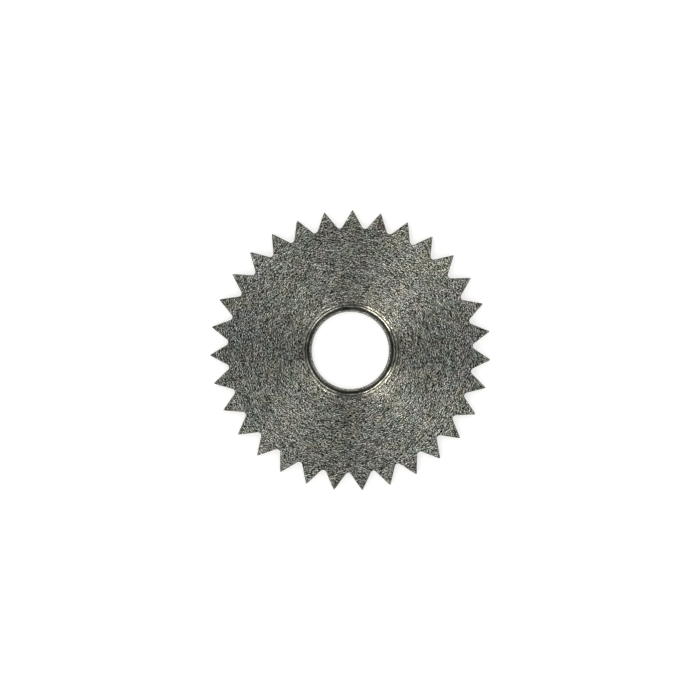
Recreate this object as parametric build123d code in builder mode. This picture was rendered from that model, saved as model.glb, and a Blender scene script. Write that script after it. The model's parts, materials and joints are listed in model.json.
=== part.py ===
from build123d import *

import os
from math import asin, atan2, cos, hypot, radians, sin, sqrt

# Date star wheel of a watch calendar: one piece of steel, turned, milled and deburred.
# It has one pointed tooth for each day of the month. A finger pushes it on by one tooth
# a day, and the beak of a spring rests in the gap between two teeth to hold it there.
#
# Lengths are in millimetres. The wheel lies on its back: +Z is its axis and leaves the
# turned face, the origin is on that axis in the plane of the back, and one tooth
# points along +Y.

# Driving dimensions of the teeth
tooth_count = 31
tip_diameter = 7.28  # of the turned blank, so across the points of the teeth
tooth_depth = 0.46  # from the points to the bottom of a gap
tip_land = 0.02  # strip of the blank's rim that is left on each point
gap_root_radius = 0.085  # rounding at the bottom of a gap

# Driving dimensions of the disc and its bore
thickness = 0.40
bore_diameter = 2.00
bore_entry_radius = 0.172  # polished rounding between the bore and the turned face
bore_back_chamfer = 0.04
edge_break = 0.012  # deburred edges all along the teeth, on both faces

# Driving dimensions of the fine ring line that the turning tool left round the bore
ring_overlap = 0.0155  # the line takes this much off the outer edge of the rounding
ring_width = 0.035
ring_depth = 0.010

# Sizes that follow from them
tip_radius = tip_diameter / 2
bore_radius = bore_diameter / 2
root_radius = tip_radius - tooth_depth
ring_inside = bore_radius + bore_entry_radius - ring_overlap
ring_middle = ring_inside + ring_width / 2
ring_outside = ring_inside + ring_width
ring_drop = bore_entry_radius - sqrt(bore_entry_radius**2 - ring_overlap**2)
half_pitch = 180 / tooth_count

# A gap, with its centre line along +Y. Each flank starts at the edge of a tooth's land,
# at the mouth, and runs straight down until it meets the rounding as a tangent.
mouth_half_angle = radians(half_pitch) - asin(tip_land / tip_diameter)
mouth_x = tip_radius * sin(mouth_half_angle)
mouth_y = tip_radius * cos(mouth_half_angle)
root_centre_y = root_radius + gap_root_radius
mouth_distance = hypot(mouth_x, mouth_y - root_centre_y)
flank_angle = atan2(mouth_x, mouth_y - root_centre_y) - asin(gap_root_radius / mouth_distance)
flank_end_x = gap_root_radius * cos(flank_angle)
flank_end_y = root_centre_y - gap_root_radius * sin(flank_angle)
outside = 1 + tooth_depth / tip_radius  # past the rim, where the cutter leaves the blank

with BuildSketch() as tooth_gap:
    with BuildLine():
        ThreePointArc(
            (flank_end_x, flank_end_y),
            (0, root_radius),
            (-flank_end_x, flank_end_y),
        )
        Polyline(
            (-flank_end_x, flank_end_y),
            (-mouth_x, mouth_y),
            (-mouth_x * outside, mouth_y * outside),
            (mouth_x * outside, mouth_y * outside),
            (mouth_x, mouth_y),
            (flank_end_x, flank_end_y),
        )
    make_face()

with BuildPart() as star_wheel:
    # The turned blank: one half of its cross-section, spun round the axis
    with BuildSketch(Plane.XZ):
        with BuildLine():
            Polyline(
                (bore_radius, thickness - bore_entry_radius),
                (bore_radius, bore_back_chamfer),
                (bore_radius + bore_back_chamfer, 0),
                (tip_radius, 0),
                (tip_radius, thickness),
                (ring_outside, thickness),
                (ring_middle, thickness - ring_depth),
                (ring_inside, thickness - ring_drop),
            )
            RadiusArc(
                (ring_inside, thickness - ring_drop),
                (bore_radius, thickness - bore_entry_radius),
                -bore_entry_radius,
            )
        make_face()
    revolve(axis=Axis.Z)

    # The gaps, milled through the rim, which leave a tooth between each two of them
    with BuildSketch():
        with PolarLocations(0, tooth_count, start_angle=half_pitch):
            add(tooth_gap.sketch)
    extrude(amount=thickness, mode=Mode.SUBTRACT)

    # The edges of the teeth, deburred on the back and on the turned face
    back = faces().sort_by(Axis.Z)[0]
    turned_face = faces().sort_by(Axis.Z)[-1]
    chamfer(back.outer_wire().edges() + turned_face.outer_wire().edges(), edge_break)

star_wheel.part.label = "star_wheel"

os.makedirs("parts", exist_ok=True)
export_step(star_wheel.part, "parts/star_wheel.step")
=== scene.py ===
"""Date star wheel of a watch calendar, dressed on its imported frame.

The wheel lies on its back on a white floor and is seen from straight above. Lengths are
in metres, in the frame of the CAD part: +Z is the wheel's axis, z = 0 is its back, and
one tooth points along +Y. The wheel is one surface, worked out as a closed grid of rows
that run up the bore, out over the turned face, down the teeth and in again underneath.
"""

import json
from math import acos, asin, atan2, cos, hypot, pi, radians, sin, tan

import bpy
import numpy as np
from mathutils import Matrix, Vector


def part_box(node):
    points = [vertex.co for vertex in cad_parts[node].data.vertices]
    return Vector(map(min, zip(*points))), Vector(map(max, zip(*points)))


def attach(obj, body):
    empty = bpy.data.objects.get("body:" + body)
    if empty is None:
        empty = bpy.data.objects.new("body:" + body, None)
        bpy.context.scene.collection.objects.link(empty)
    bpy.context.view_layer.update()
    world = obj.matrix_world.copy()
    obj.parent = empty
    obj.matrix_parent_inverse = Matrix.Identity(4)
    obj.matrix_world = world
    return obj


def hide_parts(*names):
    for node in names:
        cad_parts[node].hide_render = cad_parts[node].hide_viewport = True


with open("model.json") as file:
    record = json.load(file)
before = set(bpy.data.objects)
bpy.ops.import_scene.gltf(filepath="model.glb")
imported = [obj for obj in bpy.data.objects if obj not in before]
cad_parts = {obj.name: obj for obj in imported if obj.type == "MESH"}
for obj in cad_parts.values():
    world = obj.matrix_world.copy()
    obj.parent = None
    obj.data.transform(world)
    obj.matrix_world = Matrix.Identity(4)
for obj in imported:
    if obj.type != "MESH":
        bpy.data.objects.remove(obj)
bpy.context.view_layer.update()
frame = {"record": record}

MM = 0.001
NODE = "star_wheel"

# The wheel's sizes, as the solid has them
node_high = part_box(NODE)[1]
bore_mount = next(mount for mount in frame["record"]["mounts"] if mount["name"] == "bore")
TOOTH_COUNT = 31
HALF_PITCH = pi / TOOTH_COUNT
TIP_RADIUS = node_high.y
THICKNESS = node_high.z
BORE_RADIUS = bore_mount["dims"]["r_mm"] * MM
TOOTH_DEPTH = 0.46 * MM
TIP_LAND = 0.02 * MM  # strip of the blank's rim that is left on each point
GAP_ROUNDING = 0.085 * MM  # at the bottom of a gap
EDGE_BREAK = 0.012 * MM  # all along the teeth, on both faces
BACK_CHAMFER = 0.04 * MM  # of the bore
ENTRY_ROUNDING = 0.172 * MM  # between the bore and the turned face
RING_OVERLAP = 0.0155 * MM  # what the ring line takes off the rounding's outer edge
RING_WIDTH = 0.035 * MM
RING_DEPTH = 0.010 * MM
RING_INSIDE = BORE_RADIUS + ENTRY_ROUNDING - RING_OVERLAP
RING_OUTSIDE = RING_INSIDE + RING_WIDTH

# Turning marks that are real shapes in the face. Outside the ring line come a low
# shoulder, a second line, and feed waves that fade out.
SHOULDER_DEPTH = 0.0026 * MM  # of its foot, below the face
SHOULDER_WIDTH = 0.040 * MM
LINE_WIDTH = 0.040 * MM
LINE_DEPTH = 0.0080 * MM
FEED_PITCH = 0.143 * MM
FEED_DEPTH = 0.0050 * MM
FEED_FADE = 0.22 * MM  # over each such stretch the waves lose 63 % of their depth
FEED_REACH = 0.56 * MM  # how far out from the ring line the waves get fine rows

# A small pit in the face, beside the bore
PIT_RADIUS = 1.2866 * MM  # of its place, from the axis
PIT_ANGLE = radians(230.2)
PIT_SIZE = 0.022 * MM
PIT_DEPTH = 0.010 * MM

# Finish and painted shade of the bore's rounding, by the angle on it: 0 at the wall, 90 degrees at
# the face
SCRATCHED = 0.7  # share of the polish that scratches take from the rounding's lower part
SCRATCHED_TO = radians(42)
# A band of the rounding between these two angles is darkened: painted shade.
PAINTED_SHADE_FROM = radians(44)
PAINTED_SHADE_TO = radians(69)
BAND_EDGE = radians(8)  # over which each band, of finish and of painted shade, begins or ends
POLISH_FADE = 0.09 * MM  # over which the polish ends on the face, outside the ring line
# Painted shade in the bottoms of the ring line and of the second line
RING_PAINTED_SHADE = 1.5  # more than 1, so that the painted shade fills the ring line's sides too
LINE_PAINTED_SHADE = 0.55

# Steps of the outline, in one half of a gap
ROOT_STEPS = 4
FLANK_STEPS = 4
LAND_STEPS = 1

# Steps from row to row, in the order of the rows
WALL_STEPS = 5
ENTRY_STEPS = 16
RING_STEPS = 8
WAVE_STEPS = 22  # in each feed wave
PLAIN_STEPS = 30
TOOTH_STEPS = 5
BREAK_STEPS = 3
FLANK_ROWS = 4
BACK_STEPS = 10
INNER_FACE = TIP_RADIUS - TOOTH_DEPTH - 2 * GAP_ROUNDING  # the largest row that is a circle
SHARP_ANGLE = radians(28)  # edges that bend by more than this stay sharp

# Sizes of the steel's patterns in millimetres, round the axis and across the turning
FINE_ALONG = 0.019
FINE_ACROSS = 0.016
LONG_ALONG = 0.20
LONG_ACROSS = 0.032
DASH_ALONG = 0.038
DASH_ACROSS = 0.060
DASH_PITCH = 0.052  # from one crest to the next

# Lean of the steel's facets, as a slope: outwards or inwards, and to the sides
FACET_OUT = 0.22
STREAK_OUT = 0.09
FACET_BIAS = -0.16  # all facets lean towards the axis by this much
FACET_SIDE = 0.05
POLISH_CALM = 0.85  # share of the lean that polish takes away
REAMED_CALM = 0.11  # share that the reamer takes on top of it
REAMED_EDGE = 0.06  # millimetres above the wall over which the reamed finish ends

# Colours of the bare metal, the two kinds of cloud that shade it, and a painted highlight
ROSY_STEEL = (0.172, 0.1755, 0.1615, 1)
GREEN_STEEL = (0.153, 0.1755, 0.1615, 1)
# Lighter and warmer than the bare metal, near the bore: a painted highlight
WARM_HIGHLIGHT_STEEL = (0.218, 0.221, 0.194, 1)
WARM_HIGHLIGHT_SHARE = 0.8
WARM_HIGHLIGHT_NEAR = 1.25  # radius in millimetres up to which the painted highlight is full
WARM_HIGHLIGHT_FAR = 1.65  # and the radius at which it is gone
CLOUD_SCALE = 2.2  # about as many clouds to a millimetre
CLOUD_DETAIL = 3.0
CLOUD_ROUGHNESS = 0.55
CLOUD_LOW = 0.4  # level of the noise up to which there is no cloud
CLOUD_HIGH = 0.6  # and from which the cloud is full
CLOUD_APART = 9.0  # millimetres from one kind to the other in the noise, so they differ
LEAST_BLUE = 0.943
MOST_BLUE = 1.053

# Grains of light and dark in that colour
CELL_SHARE = 0.98
STREAK_SHARE = 0.15
DASH_SHARE = 0.45
DASH_GAIN = 6.0
DASH_ALIGN = 0.88  # 1 would give dashes that are all in line
DASH_LEAN = 0.1
GRAIN_FLOOR = 0.05
GRAIN_POWER = 3.0  # makes the light grains rarer and brighter than the dark ones
GRAIN_LEVEL = 0.325
MILLED_CALM = 0.8  # share of the grains that the milled flanks don't have

# Glints that take the place of the grains in the bore
BORE_LEVEL = 1.25  # of the polished steel, before its glints
GLINT_SHARE = 0.8
GLINT_FINE = 0.50
GLINT_LONG = 0.60
REAMED_DULL = 0.75  # share of the glints that the reamer takes away

# Painted shade, the darker pit, and wear and a painted highlight at the points
PAINTED_SHADE = 0.80  # share of the light that full painted shade takes
# How much darker the bottom of the pit is.
PIT_DARKENING = 0.75
PIT_CORE = 0.018  # radius in millimetres up to which the pit is fully dark
PIT_EDGE = 0.036
POINT_WEAR_AND_HIGHLIGHT = 1.7  # level of the points, as a factor: wear and a painted highlight
WEAR_AND_HIGHLIGHT_FROM = 0.05  # millimetres inside the points where the wear and painted highlight begin
WEAR_AND_HIGHLIGHT_FULL = 0.01

# Roughness of the face near the bore and far from it, and in the bore
ROUGH_NEAR = 0.30
ROUGH_FAR = 0.42
ROUGH_FROM = 1.2  # radius in millimetres
ROUGH_TO = 2.2
ROUGH_STREAK = 0.05
ROUGH_BORE = 0.14
ANISOTROPY = 0.8

# The floor
FLOOR_HALF = 1.5
FLOOR_DROP = 0.02 * MM  # below the wheel's back
FLOOR_GREY = 0.6
FLOOR_GLOW = 0.64  # makes it white in the picture, with the light that falls on it

# The surroundings: pairs of height and level, from the horizon (0) to straight up (1)
WORLD_STOPS = (
    (0.00, 1.00),
    (0.16, 0.92),
    (0.30, 0.85),
    (0.56, 0.75),
    (0.70, 0.09),
    (0.81, 0.09),
    (0.90, 0.85),
    (0.96, 0.85),
    (1.00, 0.43),
)
SWING = 0.36  # how far the level swings up and down round the horizon
SWING_LOW = 0.08  # height at which the swing begins
SWING_HIGH = 0.22  # and at which it is full
SWING_COUNT = 4.0  # on one turn round the horizon

# The lamps: pairs of heading in degrees and power in watts
LAMPS = ((46, 0.52), (134, 1.36), (230, 1.50), (308, 0.44))
LAMP_DISTANCE = 1.0
LAMP_LEAN = radians(22)  # away from straight overhead
LAMP_SIZE = 0.30
LAMP_COLOUR = (1.0, 0.905, 0.80)

# The camera
PICTURE = 700  # width in pixels
PIXEL = 0.02594 * MM  # width of one pixel on the turned face
CAMERA_LENS = 135
CAMERA_SENSOR = 36
CAMERA_NEAR = 0.001
CAMERA_OVER = (-0.34, 0.40)  # the place it looks down on, in pixels from the axis
CAMERA_TURN = radians(0.913)


def gap_curve(inset):
    """One gap, from the middle of the land on its right to that on its left.

    Its points are x + iy. The bottom is an arc about a point on the +Y axis, each flank
    is a straight line that leaves the arc as a tangent and ends on the rim, and each land
    is an arc of the rim. The curve is moved into the metal by inset: that much is added
    to the radius of the bottom and taken from the radius of the rim.
    """
    root_centre = TIP_RADIUS - TOOTH_DEPTH + GAP_ROUNDING
    mouth_angle = HALF_PITCH - asin(TIP_LAND / 2 / TIP_RADIUS)
    mouth_x = TIP_RADIUS * sin(mouth_angle)
    mouth_y = TIP_RADIUS * cos(mouth_angle)
    reach = hypot(mouth_x, mouth_y - root_centre)
    flank = atan2(mouth_x, mouth_y - root_centre) - asin(GAP_ROUNDING / reach)
    rounding = GAP_ROUNDING + inset
    rim = TIP_RADIUS - inset
    foot = complex(rounding * cos(flank), root_centre - rounding * sin(flank))
    along = complex(sin(flank), cos(flank))
    uphill = (foot * along.conjugate()).real
    top = foot + along * (-uphill + (uphill**2 - abs(foot) ** 2 + rim**2) ** 0.5)
    land = rim * np.exp(1j * np.linspace(pi / 2 - HALF_PITCH, np.angle(top), LAND_STEPS + 1))
    side = top + (foot - top) * np.linspace(0, 1, FLANK_STEPS + 1)
    swing = np.linspace(pi / 2 - flank, 0, ROOT_STEPS + 1)
    bottom = rounding * np.sin(swing) + 1j * (root_centre - rounding * np.cos(swing))
    right = np.concatenate([land[:-1], side[:-1], bottom])
    left = -right[-2::-1].conjugate()
    return np.concatenate([right, left[:-1]])


def outline(inset):
    """The wheel's outline, anticlockwise: the gap's curve, turned by one pitch each time."""
    turns = np.exp(2j * HALF_PITCH * (np.arange(TOOTH_COUNT)[:, None] + 0.5))
    return (turns * gap_curve(inset)[None, :]).ravel()


def half_cosine(share):
    """0 before share 0, 1 after share 1, and half a cosine wave between the two."""
    return 0.5 - 0.5 * np.cos(pi * np.clip(share, 0, 1))


def eased(share):
    """Halfway between a straight ramp and half a cosine wave, from share 0 to share 1."""
    return 0.5 * np.clip(share, 0, 1) + 0.5 * half_cosine(share)


def face_relief(radius):
    """Depth of the turned face below its plane at each radius, and the painted shade in its lines.

    The ring line falls from the rounding's arc to its bottom and rises to the shoulder's
    foot, both as eased ramps. The shoulder climbs to the face as half a cosine wave. The
    second line is an eased notch. The feed waves are cosine waves, and their depth falls
    off as an exponential. The painted shade is 1 at the bottom of the ring line, a smaller
    share at the bottom of the second line, and 0 on the face.
    """
    middle = RING_INSIDE + RING_WIDTH / 2
    short_of_edge = np.clip(BORE_RADIUS + ENTRY_ROUNDING - radius, 0, None)
    arc = ENTRY_ROUNDING - np.sqrt(ENTRY_ROUNDING**2 - short_of_edge**2)
    fall = eased((radius - RING_INSIDE) / (RING_WIDTH / 2))
    rise = eased((radius - middle) / (RING_WIDTH / 2))
    climb = half_cosine((radius - RING_OUTSIDE) / SHOULDER_WIDTH)
    ring = RING_DEPTH * fall - (RING_DEPTH - SHOULDER_DEPTH) * rise - SHOULDER_DEPTH * climb
    start = RING_OUTSIDE + SHOULDER_WIDTH
    notch = eased(1 - np.abs((radius - start) / (LINE_WIDTH / 2) - 1))
    past = np.clip(radius - start - LINE_WIDTH, 0, None)
    wave = 0.5 - 0.5 * np.cos(2 * pi * past / FEED_PITCH)
    feed = FEED_DEPTH * np.exp(-past / FEED_FADE) * wave
    # Painted shade: darkening in the bottoms of the ring line and the second line.
    painted_shading = np.minimum(1, RING_PAINTED_SHADE * (fall - rise)) + LINE_PAINTED_SHADE * notch
    return arc + ring + LINE_DEPTH * notch + feed, painted_shading


def turned_rows():
    """Radius, height, polish and painted shade of the circles up the bore and out over the face.

    The wall is straight, and the rounding is a quarter of a circle that stops at the ring
    line. From there on, the height is the face's plane less face_relief. Polish is 1 on
    the wall, lower on the scratched part of the rounding, and 1 again from there to the
    outer side of the ring line, past which it falls to 0 as an S-curve. The painted shade
    is that of face_relief, and 1 in one band of the rounding. Bands begin and end as half
    a cosine wave.
    """
    corner = np.linspace(0, acos(RING_OVERLAP / ENTRY_ROUNDING), ENTRY_STEPS + 1)
    wall_z = np.linspace(BACK_CHAMFER, THICKNESS - ENTRY_ROUNDING, WALL_STEPS + 1)[:-1]
    entry_r = BORE_RADIUS + ENTRY_ROUNDING - ENTRY_ROUNDING * np.cos(corner)
    entry_z = THICKNESS - ENTRY_ROUNDING + ENTRY_ROUNDING * np.sin(corner)
    ring_r = RING_INSIDE + RING_WIDTH * np.linspace(0, 1, RING_STEPS + 1)[1:]
    step = FEED_PITCH / WAVE_STEPS
    marks_r = RING_OUTSIDE + np.arange(step, FEED_REACH, step)
    plain_r = np.linspace(marks_r[-1], INNER_FACE, PLAIN_STEPS + 1)[1:]
    face_r = np.concatenate([ring_r, marks_r, plain_r])
    relief, face_painted_shading = face_relief(face_r)

    unscratched = half_cosine((corner - SCRATCHED_TO) / BAND_EDGE)
    entry_polish = 1 - SCRATCHED * (1 - unscratched)
    remaining = 1 - np.clip((face_r - RING_OUTSIDE) / POLISH_FADE, 0, 1)
    face_polish = remaining**2 * (3 - 2 * remaining)
    # Painted shade on a band of the rounding.
    begun = half_cosine((corner - PAINTED_SHADE_FROM) / BAND_EDGE)
    ended = half_cosine((corner - PAINTED_SHADE_TO) / BAND_EDGE)

    radius = np.concatenate([np.full(WALL_STEPS, BORE_RADIUS), entry_r, face_r])
    height = np.concatenate([wall_z, entry_z, THICKNESS - relief])
    polish = np.concatenate([np.ones(WALL_STEPS), entry_polish, face_polish])
    painted_shading = np.concatenate([np.zeros(WALL_STEPS), begun - ended, face_painted_shading])
    return radius, height, polish, painted_shading


def wheel_grid():
    """All points of the wheel as a grid, and the finish and painted shade of each row.

    There is one row per circle or outline, and one column per point of the outline. A
    circle is its radius times the heading of each column. Between the last circle and the
    teeth a row is a straight mix of the two. A broken edge is a quarter round. The pit is
    a bell curve of the distance from its place, taken off the height of the upper side.
    """
    rim = outline(0)
    inset = outline(EDGE_BREAK)
    heading = inset / np.abs(inset)
    rows = []
    heights = []
    # The third list is painted shade: darkening in the turned lines and on a band of the rounding.
    finishes = {"bored": [], "milled": [], "grimy": []}

    def add_row(curve, z, **finish):
        rows.append(curve)
        heights.append(np.full(curve.size, z))
        for name, values in finishes.items():
            values.append(finish.get(name, 0.0))

    def towards_teeth(share):
        return (1 - share) * INNER_FACE * heading + share * inset

    # Each circle carries its polish and its painted shade.
    for radius, z, polish, painted_shading in zip(*turned_rows()):
        add_row(radius * heading, z, bored=polish, grimy=painted_shading)
    for share in np.linspace(0, 1, TOOTH_STEPS + 1)[1:]:
        add_row(towards_teeth(share), THICKNESS)
    bend = np.linspace(0, pi / 2, BREAK_STEPS + 1)[1:]
    for angle in bend:
        drop = EDGE_BREAK * (1 - cos(angle))
        add_row(inset + (rim - inset) * sin(angle), THICKNESS - drop, milled=1.0)
    for z in np.linspace(THICKNESS - EDGE_BREAK, EDGE_BREAK, FLANK_ROWS + 1)[1:]:
        add_row(rim, z, milled=1.0)
    for angle in bend[-2::-1]:
        add_row(inset + (rim - inset) * sin(angle), EDGE_BREAK * (1 - cos(angle)), milled=1.0)
    for share in np.linspace(1, 0, TOOTH_STEPS + 1):
        add_row(towards_teeth(share), 0.0)
    for radius in np.linspace(INNER_FACE, BORE_RADIUS + BACK_CHAMFER, BACK_STEPS + 1)[1:]:
        add_row(radius * heading, 0.0)

    grid = np.array(rows)
    points = np.stack([grid.real, grid.imag, np.array(heights)], axis=-1)
    away = np.abs(grid - PIT_RADIUS * np.exp(1j * PIT_ANGLE))
    upper = points[..., 2] > THICKNESS / 2
    points[..., 2] -= PIT_DEPTH * np.exp(-((away / PIT_SIZE) ** 2)) * upper
    return points, finishes


def wheel_mesh():
    """The grid closed both ways: each row joins the next, the last row joins the first."""
    points, finishes = wheel_grid()
    row_count, column_count = points.shape[:2]
    index = np.arange(row_count * column_count).reshape(row_count, column_count)
    up = np.roll(index, -1, axis=0)
    faces = np.stack([index, up, np.roll(up, -1, axis=1), np.roll(index, -1, axis=1)], axis=-1)
    mesh = bpy.data.meshes.new(NODE)
    mesh.from_pydata(points.reshape(-1, 3), [], faces.reshape(-1, 4))
    # Each finish, and the painted shade, becomes an attribute of the points.
    for name, values in finishes.items():
        layer = mesh.attributes.new(name, "FLOAT", "POINT")
        layer.data.foreach_set("value", np.repeat(np.float32(values), column_count))
    mesh.shade_smooth()
    mesh.set_sharp_from_angle(angle=SHARP_ANGLE)
    mesh.validate()
    return mesh


def add_object(name, data):
    """An object in the scene, left at the origin."""
    thing = bpy.data.objects.new(name, data)
    bpy.context.scene.collection.objects.link(thing)
    return thing


class Shader:
    """A node tree that is written as a list of short calls.

    A value that is handed to a call is a plain one, or the output of another node.
    """

    def __init__(self, owner):
        owner.use_nodes = True
        self.tree = owner.node_tree
        self.tree.nodes.clear()

    def node(self, kind):
        return self.tree.nodes.new(kind)

    def feed(self, socket, value):
        if isinstance(value, bpy.types.NodeSocket):
            self.tree.links.new(value, socket)
        else:
            socket.default_value = value

    def add(self, kind, **inputs):
        """The first output of a new node. An underscore in a name stands for a space."""
        made = self.node(kind)
        for name, value in inputs.items():
            self.feed(made.inputs[name.replace("_", " ")], value)
        return made.outputs[0]

    def close(self, kind, surface):
        """The node that ends the tree, fed with its surface."""
        self.feed(self.node(kind).inputs["Surface"], surface)

    def operate(self, kind, operation, values):
        made = self.node(kind)
        made.operation = operation
        for socket, value in zip(made.inputs, values):
            self.feed(socket, value)
        return made

    def math(self, operation, *values):
        return self.operate("ShaderNodeMath", operation, values).outputs[0]

    def vector(self, operation, *values, scale=None):
        made = self.operate("ShaderNodeVectorMath", operation, values)
        if scale is not None:
            self.feed(made.inputs["Scale"], scale)
        return made.outputs["Value" if operation == "LENGTH" else "Vector"]

    def part(self, vector, axis):
        """The X, Y or Z part of a vector."""
        made = self.node("ShaderNodeSeparateXYZ")
        self.feed(made.inputs[0], vector)
        return made.outputs[axis]

    def to_world(self, vector):
        """A direction on the piece, turned the way the piece is turned."""
        made = self.node("ShaderNodeVectorTransform")
        made.vector_type = "VECTOR"
        made.convert_from = "OBJECT"
        made.convert_to = "WORLD"
        self.feed(made.inputs[0], vector)
        return made.outputs[0]

    def attribute(self, name):
        made = self.node("ShaderNodeAttribute")
        made.attribute_name = name
        return made.outputs["Fac"]

    def remap(self, value, low, high, to_low, to_high):
        """to_low up to the value low, to_high from the value high on, and a straight ramp
        between the two."""
        return self.add(
            "ShaderNodeMapRange",
            Value=value,
            From_Min=low,
            From_Max=high,
            To_Min=to_low,
            To_Max=to_high,
        )

    def less(self, value):
        """1 less the value."""
        return self.math("SUBTRACT", 1.0, value)

    def spread(self, value, reach):
        """A value between 0 and 1, turned into one between -reach and +reach."""
        return self.math("MULTIPLY_ADD", value, 2 * reach, -reach)

    def mix(self, kind, start, share, first, second):
        """First at share 0, second at share 1. Each kind's own two inputs begin at start."""
        made = self.node("ShaderNodeMix")
        made.data_type = kind
        self.feed(made.inputs[0], share)
        self.feed(made.inputs[start], first)
        self.feed(made.inputs[start + 1], second)
        return made

    def mix_value(self, share, first, second):
        return self.mix("FLOAT", 2, share, first, second).outputs[0]

    def mix_colour(self, share, first, second):
        return self.mix("RGBA", 6, share, first, second).outputs[2]


class TurnedSteel(Shader):
    """Bare steel in short cells that run round the axis, each with its own lean and level.

    Its patterns are laid out in millimetres on Object coordinates. The mesh says where its
    finishes are: bored is polish, milled is the toothing, and the third is painted shade,
    darkening in the turned lines and on a band of the rounding.
    """

    def __init__(self, material):
        super().__init__(material)
        place = self.node("ShaderNodeTexCoord").outputs["Object"]
        self.in_mm = self.vector("SCALE", place, scale=1 / MM)
        self.flat = self.vector("MULTIPLY", self.in_mm, (1, 1, 0))
        self.radius = self.vector("LENGTH", self.flat)
        self.outward = self.vector("NORMALIZE", self.flat)
        self.sideways = self.vector("CROSS_PRODUCT", (0, 0, 1), self.outward)
        self.height = self.part(self.in_mm, "Z")
        self.bored = self.attribute("bored")
        self.milled = self.attribute("milled")
        self.turned = self.less(self.milled)
        self.travel = self.math("MULTIPLY_ADD", self.height, self.turned, self.radius)
        self.fine = self.cells(self.round_the_axis(FINE_ALONG, FINE_ACROSS))
        self.long = self.cells(self.round_the_axis(LONG_ALONG, LONG_ACROSS))
        wall_top = (THICKNESS - ENTRY_ROUNDING) / MM
        on_wall = self.remap(self.height, wall_top, wall_top + REAMED_EDGE, 1.0, 0.0)
        self.reamed = self.math("MULTIPLY", self.bored, on_wall)

    def round_the_axis(self, along, across):
        """Coordinates in which a cell is `along` long round the axis and `across` wide.

        Across the turning they follow the tool's travel, which is the radius plus the
        height. On the milled flanks it is the radius alone, and that draws the cells out
        into lines down the teeth.
        """
        stretched = self.vector("SCALE", self.flat, scale=1 / along)
        rise = self.add("ShaderNodeCombineXYZ", Z=self.math("MULTIPLY", self.travel, 1 / across))
        return self.vector("ADD", stretched, rise)

    def cells(self, place):
        """Random colour of the nearest of many scattered points: flat cells, crisp edges."""
        made = self.node("ShaderNodeTexVoronoi")
        self.feed(made.inputs["Vector"], place)
        made.inputs["Scale"].default_value = 1.0
        return made.outputs["Color"]

    def clouds(self, place):
        """Soft noise round 0.5, of which metal uses what lies from CLOUD_LOW to CLOUD_HIGH."""
        return self.add(
            "ShaderNodeTexNoise",
            Vector=place,
            Scale=CLOUD_SCALE,
            Detail=CLOUD_DETAIL,
            Roughness=CLOUD_ROUGHNESS,
        )

    def dashes(self):
        """Short waves, even round 0, that follow each other across the turning and break off,
        so that each crest is a dash round the axis."""
        made = self.node("ShaderNodeTexGabor")
        made.gabor_type = "3D"
        self.feed(made.inputs["Vector"], self.round_the_axis(DASH_ALONG, DASH_ACROSS))
        made.inputs["Scale"].default_value = 1.0
        made.inputs["Frequency"].default_value = DASH_ACROSS / DASH_PITCH
        made.inputs["Anisotropy"].default_value = DASH_ALIGN
        # Two inputs are called Orientation. The one at 5 is the direction of the waves.
        lean = self.vector("SCALE", self.outward, scale=DASH_LEAN)
        self.feed(made.inputs[5], self.vector("ADD", lean, (0, 0, 1)))
        return self.spread(made.outputs["Value"], DASH_GAIN)

    def leaning_normal(self):
        """The surface's normal, pushed by the lean of each cell, mostly along the radius.

        Polish and the reamer calm the lean, and the milled flanks have none.
        """
        fine_out = self.spread(self.part(self.fine, "X"), FACET_OUT)
        long_out = self.spread(self.part(self.long, "X"), STREAK_OUT)
        lean_out = self.math("ADD", self.math("ADD", fine_out, long_out), FACET_BIAS)
        lean_side = self.spread(self.part(self.fine, "Y"), FACET_SIDE)
        kept = self.less(self.math("MULTIPLY", self.bored, POLISH_CALM))
        kept = self.math("MULTIPLY_ADD", self.reamed, -REAMED_CALM, kept)
        kept = self.math("MULTIPLY", kept, self.turned)
        push = self.vector(
            "ADD",
            self.vector("SCALE", self.outward, scale=self.math("MULTIPLY", lean_out, kept)),
            self.vector("SCALE", self.sideways, scale=self.math("MULTIPLY", lean_side, kept)),
        )
        normal = self.node("ShaderNodeNewGeometry").outputs["Normal"]
        return self.vector("NORMALIZE", self.vector("ADD", normal, self.to_world(push)))

    def metal(self):
        """Colour of the metal: rosy and green clouds, bluer and less blue clouds, and near the
        bore a lighter, warmer colour that is a painted highlight."""
        redness = self.remap(self.clouds(self.in_mm), CLOUD_LOW, CLOUD_HIGH, 0.0, 1.0)
        colour = self.mix_colour(redness, GREEN_STEEL, ROSY_STEEL)
        elsewhere = self.vector("ADD", self.in_mm, (0, 0, CLOUD_APART))
        blue = self.remap(self.clouds(elsewhere), CLOUD_LOW, CLOUD_HIGH, LEAST_BLUE, MOST_BLUE)
        shade = self.add("ShaderNodeCombineXYZ", X=1.0, Y=1.0, Z=blue)
        colour = self.vector("MULTIPLY", colour, shade)
        # Lighter, warmer steel near the bore: a painted highlight.
        warm_highlight = self.remap(self.radius, WARM_HIGHLIGHT_NEAR, WARM_HIGHLIGHT_FAR, WARM_HIGHLIGHT_SHARE, 0.0)
        return self.mix_colour(warm_highlight, colour, WARM_HIGHLIGHT_STEEL)

    def grains(self):
        """Levels of the grains: 1, plus a random part for each cell and the dashes, raised
        to a power."""
        fine_part = self.spread(self.part(self.fine, "Z"), CELL_SHARE)
        long_part = self.spread(self.part(self.long, "Z"), STREAK_SHARE)
        cell_part = self.math("ADD", fine_part, long_part)
        level = self.math("MULTIPLY_ADD", self.dashes(), DASH_SHARE, cell_part)
        level = self.math("MAXIMUM", self.math("ADD", level, 1.0), GRAIN_FLOOR)
        return self.math("MULTIPLY", self.math("POWER", level, GRAIN_POWER), GRAIN_LEVEL)

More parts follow.
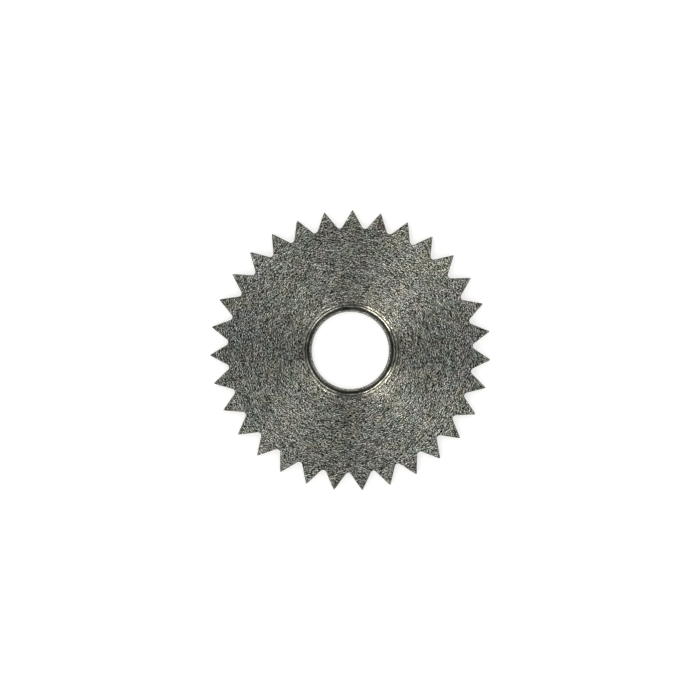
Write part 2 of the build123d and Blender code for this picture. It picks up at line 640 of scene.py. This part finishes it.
    def glints(self):
        """Levels in the bore: random parts of the same cells, weaker on the reamed wall."""
        fine_part = self.spread(self.part(self.fine, "Z"), GLINT_FINE * BORE_LEVEL)
        long_part = self.spread(self.part(self.long, "Z"), GLINT_LONG * BORE_LEVEL)
        kept = self.math("MULTIPLY_ADD", self.reamed, -REAMED_DULL, 1.0)
        glint = self.math("MULTIPLY", self.math("ADD", fine_part, long_part), kept)
        return self.math("ADD", glint, BORE_LEVEL)

    def painted_shade_and_pit(self):
        """Share of the light taken away: painted shade, and the darker bottom of the pit."""
        # Painted shade in the turned lines and on a band of the rounding.
        grimy = self.math("MULTIPLY", self.attribute("grimy"), PAINTED_SHADE)
        # Darker towards the middle of the pit.
        pit = (PIT_RADIUS / MM * cos(PIT_ANGLE), PIT_RADIUS / MM * sin(PIT_ANGLE), 0)
        away = self.vector("LENGTH", self.vector("SUBTRACT", self.flat, pit))
        return self.math("MAXIMUM", grimy, self.remap(away, PIT_CORE, PIT_EDGE, PIT_DARKENING, 0.0))

    def colour(self):
        """The metal's colour times the level of its grains or glints, painted shade, the darker
        pit, and the wear and painted highlight on the points.
        """
        calm = self.math("MULTIPLY", self.milled, MILLED_CALM)
        level = self.mix_value(calm, self.grains(), 1.0)
        shiny = self.math("MULTIPLY", self.bored, GLINT_SHARE)
        level = self.mix_value(shiny, level, self.glints())
        # Painted shade and the darker pit take light away.
        level = self.math("MULTIPLY", level, self.less(self.painted_shade_and_pit()))
        # The points are lighter: wear, and a painted highlight.
        tip = TIP_RADIUS / MM
        wear_and_highlight = self.remap(self.radius, tip - WEAR_AND_HIGHLIGHT_FROM, tip - WEAR_AND_HIGHLIGHT_FULL, 1.0, POINT_WEAR_AND_HIGHLIGHT)
        return self.vector("SCALE", self.metal(), scale=self.math("MULTIPLY", level, wear_and_highlight))

    def roughness(self):
        """Smoother near the bore than far from it, a little different in each long cell,
        and smoothest in the bore."""
        rough = self.remap(self.radius, ROUGH_FROM, ROUGH_TO, ROUGH_NEAR, ROUGH_FAR)
        rough = self.math("ADD", rough, self.spread(self.part(self.long, "Y"), ROUGH_STREAK))
        return self.mix_value(self.bored, rough, ROUGH_BORE)


def turned_steel():
    """The wheel's material. Its highlights are drawn out along the radius."""
    material = bpy.data.materials.new("turned_steel")
    steel = TurnedSteel(material)
    surface = steel.node("ShaderNodeBsdfPrincipled")
    surface.inputs["Metallic"].default_value = 1.0
    surface.inputs["Anisotropic"].default_value = ANISOTROPY
    steel.feed(surface.inputs["Base Color"], steel.colour())
    steel.feed(surface.inputs["Roughness"], steel.roughness())
    steel.feed(surface.inputs["Normal"], steel.leaning_normal())
    steel.feed(surface.inputs["Tangent"], steel.to_world(steel.outward))
    steel.close("ShaderNodeOutputMaterial", surface.outputs["BSDF"])
    return material


def make_wheel():
    """The toothed wheel, which takes the place of the solid's own mesh."""
    wheel = add_object("toothed_wheel", wheel_mesh())
    wheel.data.materials.append(turned_steel())
    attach(wheel, "root")
    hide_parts(NODE)


def make_floor():
    """A white sheet just under the wheel. It shines only towards the camera and in
    reflections, so it is white there and still takes the wheel's shadow."""
    half = FLOOR_HALF
    sides = [(-half, -half), (half, -half), (half, half), (-half, half)]
    mesh = bpy.data.meshes.new("floor")
    mesh.from_pydata([(x, y, -FLOOR_DROP) for x, y in sides], [], [(0, 1, 2, 3)])
    floor = add_object("floor", mesh)
    material = bpy.data.materials.new("white_floor")
    shade = Shader(material)
    grey = (FLOOR_GREY, FLOOR_GREY, FLOOR_GREY, 1)
    diffuse = shade.add("ShaderNodeBsdfDiffuse", Color=grey)
    ray = shade.node("ShaderNodeLightPath").outputs
    seen = shade.math("MAXIMUM", ray["Is Camera Ray"], ray["Is Glossy Ray"])
    seen = shade.math("MAXIMUM", seen, ray["Is Transmission Ray"])
    glow = shade.math("MULTIPLY", seen, FLOOR_GLOW)
    shine = shade.add("ShaderNodeEmission", Color=(1, 1, 1, 1), Strength=glow)
    both = shade.node("ShaderNodeAddShader")
    shade.feed(both.inputs[0], diffuse)
    shade.feed(both.inputs[1], shine)
    shade.close("ShaderNodeOutputMaterial", both.outputs[0])
    mesh.materials.append(material)


def make_world():
    """Soft surroundings: pale from the horizon up, then a dark band, pale again, and dim
    overhead.

    A little above the horizon, the level begins to swing as a cosine of four times the
    heading: lower over the axes and higher over the diagonals.
    """
    world = bpy.data.worlds.new("studio")
    bpy.context.scene.world = world
    shade = Shader(world)
    heading = shade.node("ShaderNodeTexCoord").outputs["Generated"]
    up = shade.part(heading, "Z")
    ramp = shade.node("ShaderNodeValToRGB")
    shade.feed(ramp.inputs["Fac"], up)
    elements = ramp.color_ramp.elements
    # A new ramp has two stops. Those that are added get their places in the next loop.
    while len(elements) < len(WORLD_STOPS):
        elements.new(0.5)
    for element, (position, level) in zip(elements, WORLD_STOPS):
        element.position = position
        element.color = (level, level, level, 1)
    around = shade.math("ARCTAN2", shade.part(heading, "Y"), shade.part(heading, "X"))
    swing = shade.math("COSINE", shade.math("MULTIPLY", around, SWING_COUNT))
    swing = shade.math("MULTIPLY", swing, shade.remap(up, SWING_LOW, SWING_HIGH, 0.0, SWING))
    back = shade.add("ShaderNodeBackground", Color=ramp.outputs["Color"], Strength=shade.less(swing))
    shade.close("ShaderNodeOutputWorld", back)


def make_lamps():
    """Four soft round lamps high above the wheel's diagonals, turned towards it."""
    for index, (heading, power) in enumerate(LAMPS):
        light = bpy.data.lights.new(f"lamp_{index}", "AREA")
        light.shape = "DISK"
        light.size = LAMP_SIZE
        light.energy = power
        light.color = LAMP_COLOUR
        lamp = add_object(f"lamp_{index}", light)
        around = radians(heading)
        aside = LAMP_DISTANCE * sin(LAMP_LEAN)
        up = LAMP_DISTANCE * cos(LAMP_LEAN)
        lamp.location = (aside * cos(around), aside * sin(around), up)
        lamp.rotation_euler = (0, LAMP_LEAN, around)


def make_camera():
    """Straight above the wheel, with a long lens, at the height that fits PIXEL."""
    data = bpy.data.cameras.new("camera")
    data.lens = CAMERA_LENS
    data.sensor_width = CAMERA_SENSOR
    data.clip_start = CAMERA_NEAR
    camera = add_object("camera", data)
    height = PICTURE * PIXEL / 2 / tan(data.angle / 2)
    over_x, over_y = CAMERA_OVER
    camera.location = (over_x * PIXEL, over_y * PIXEL, THICKNESS + height)
    camera.rotation_euler = (0, 0, CAMERA_TURN)
    bpy.context.scene.camera = camera


make_wheel()
make_floor()
make_world()
make_lamps()
make_camera()
bpy.context.scene.view_settings.view_transform = "Standard"
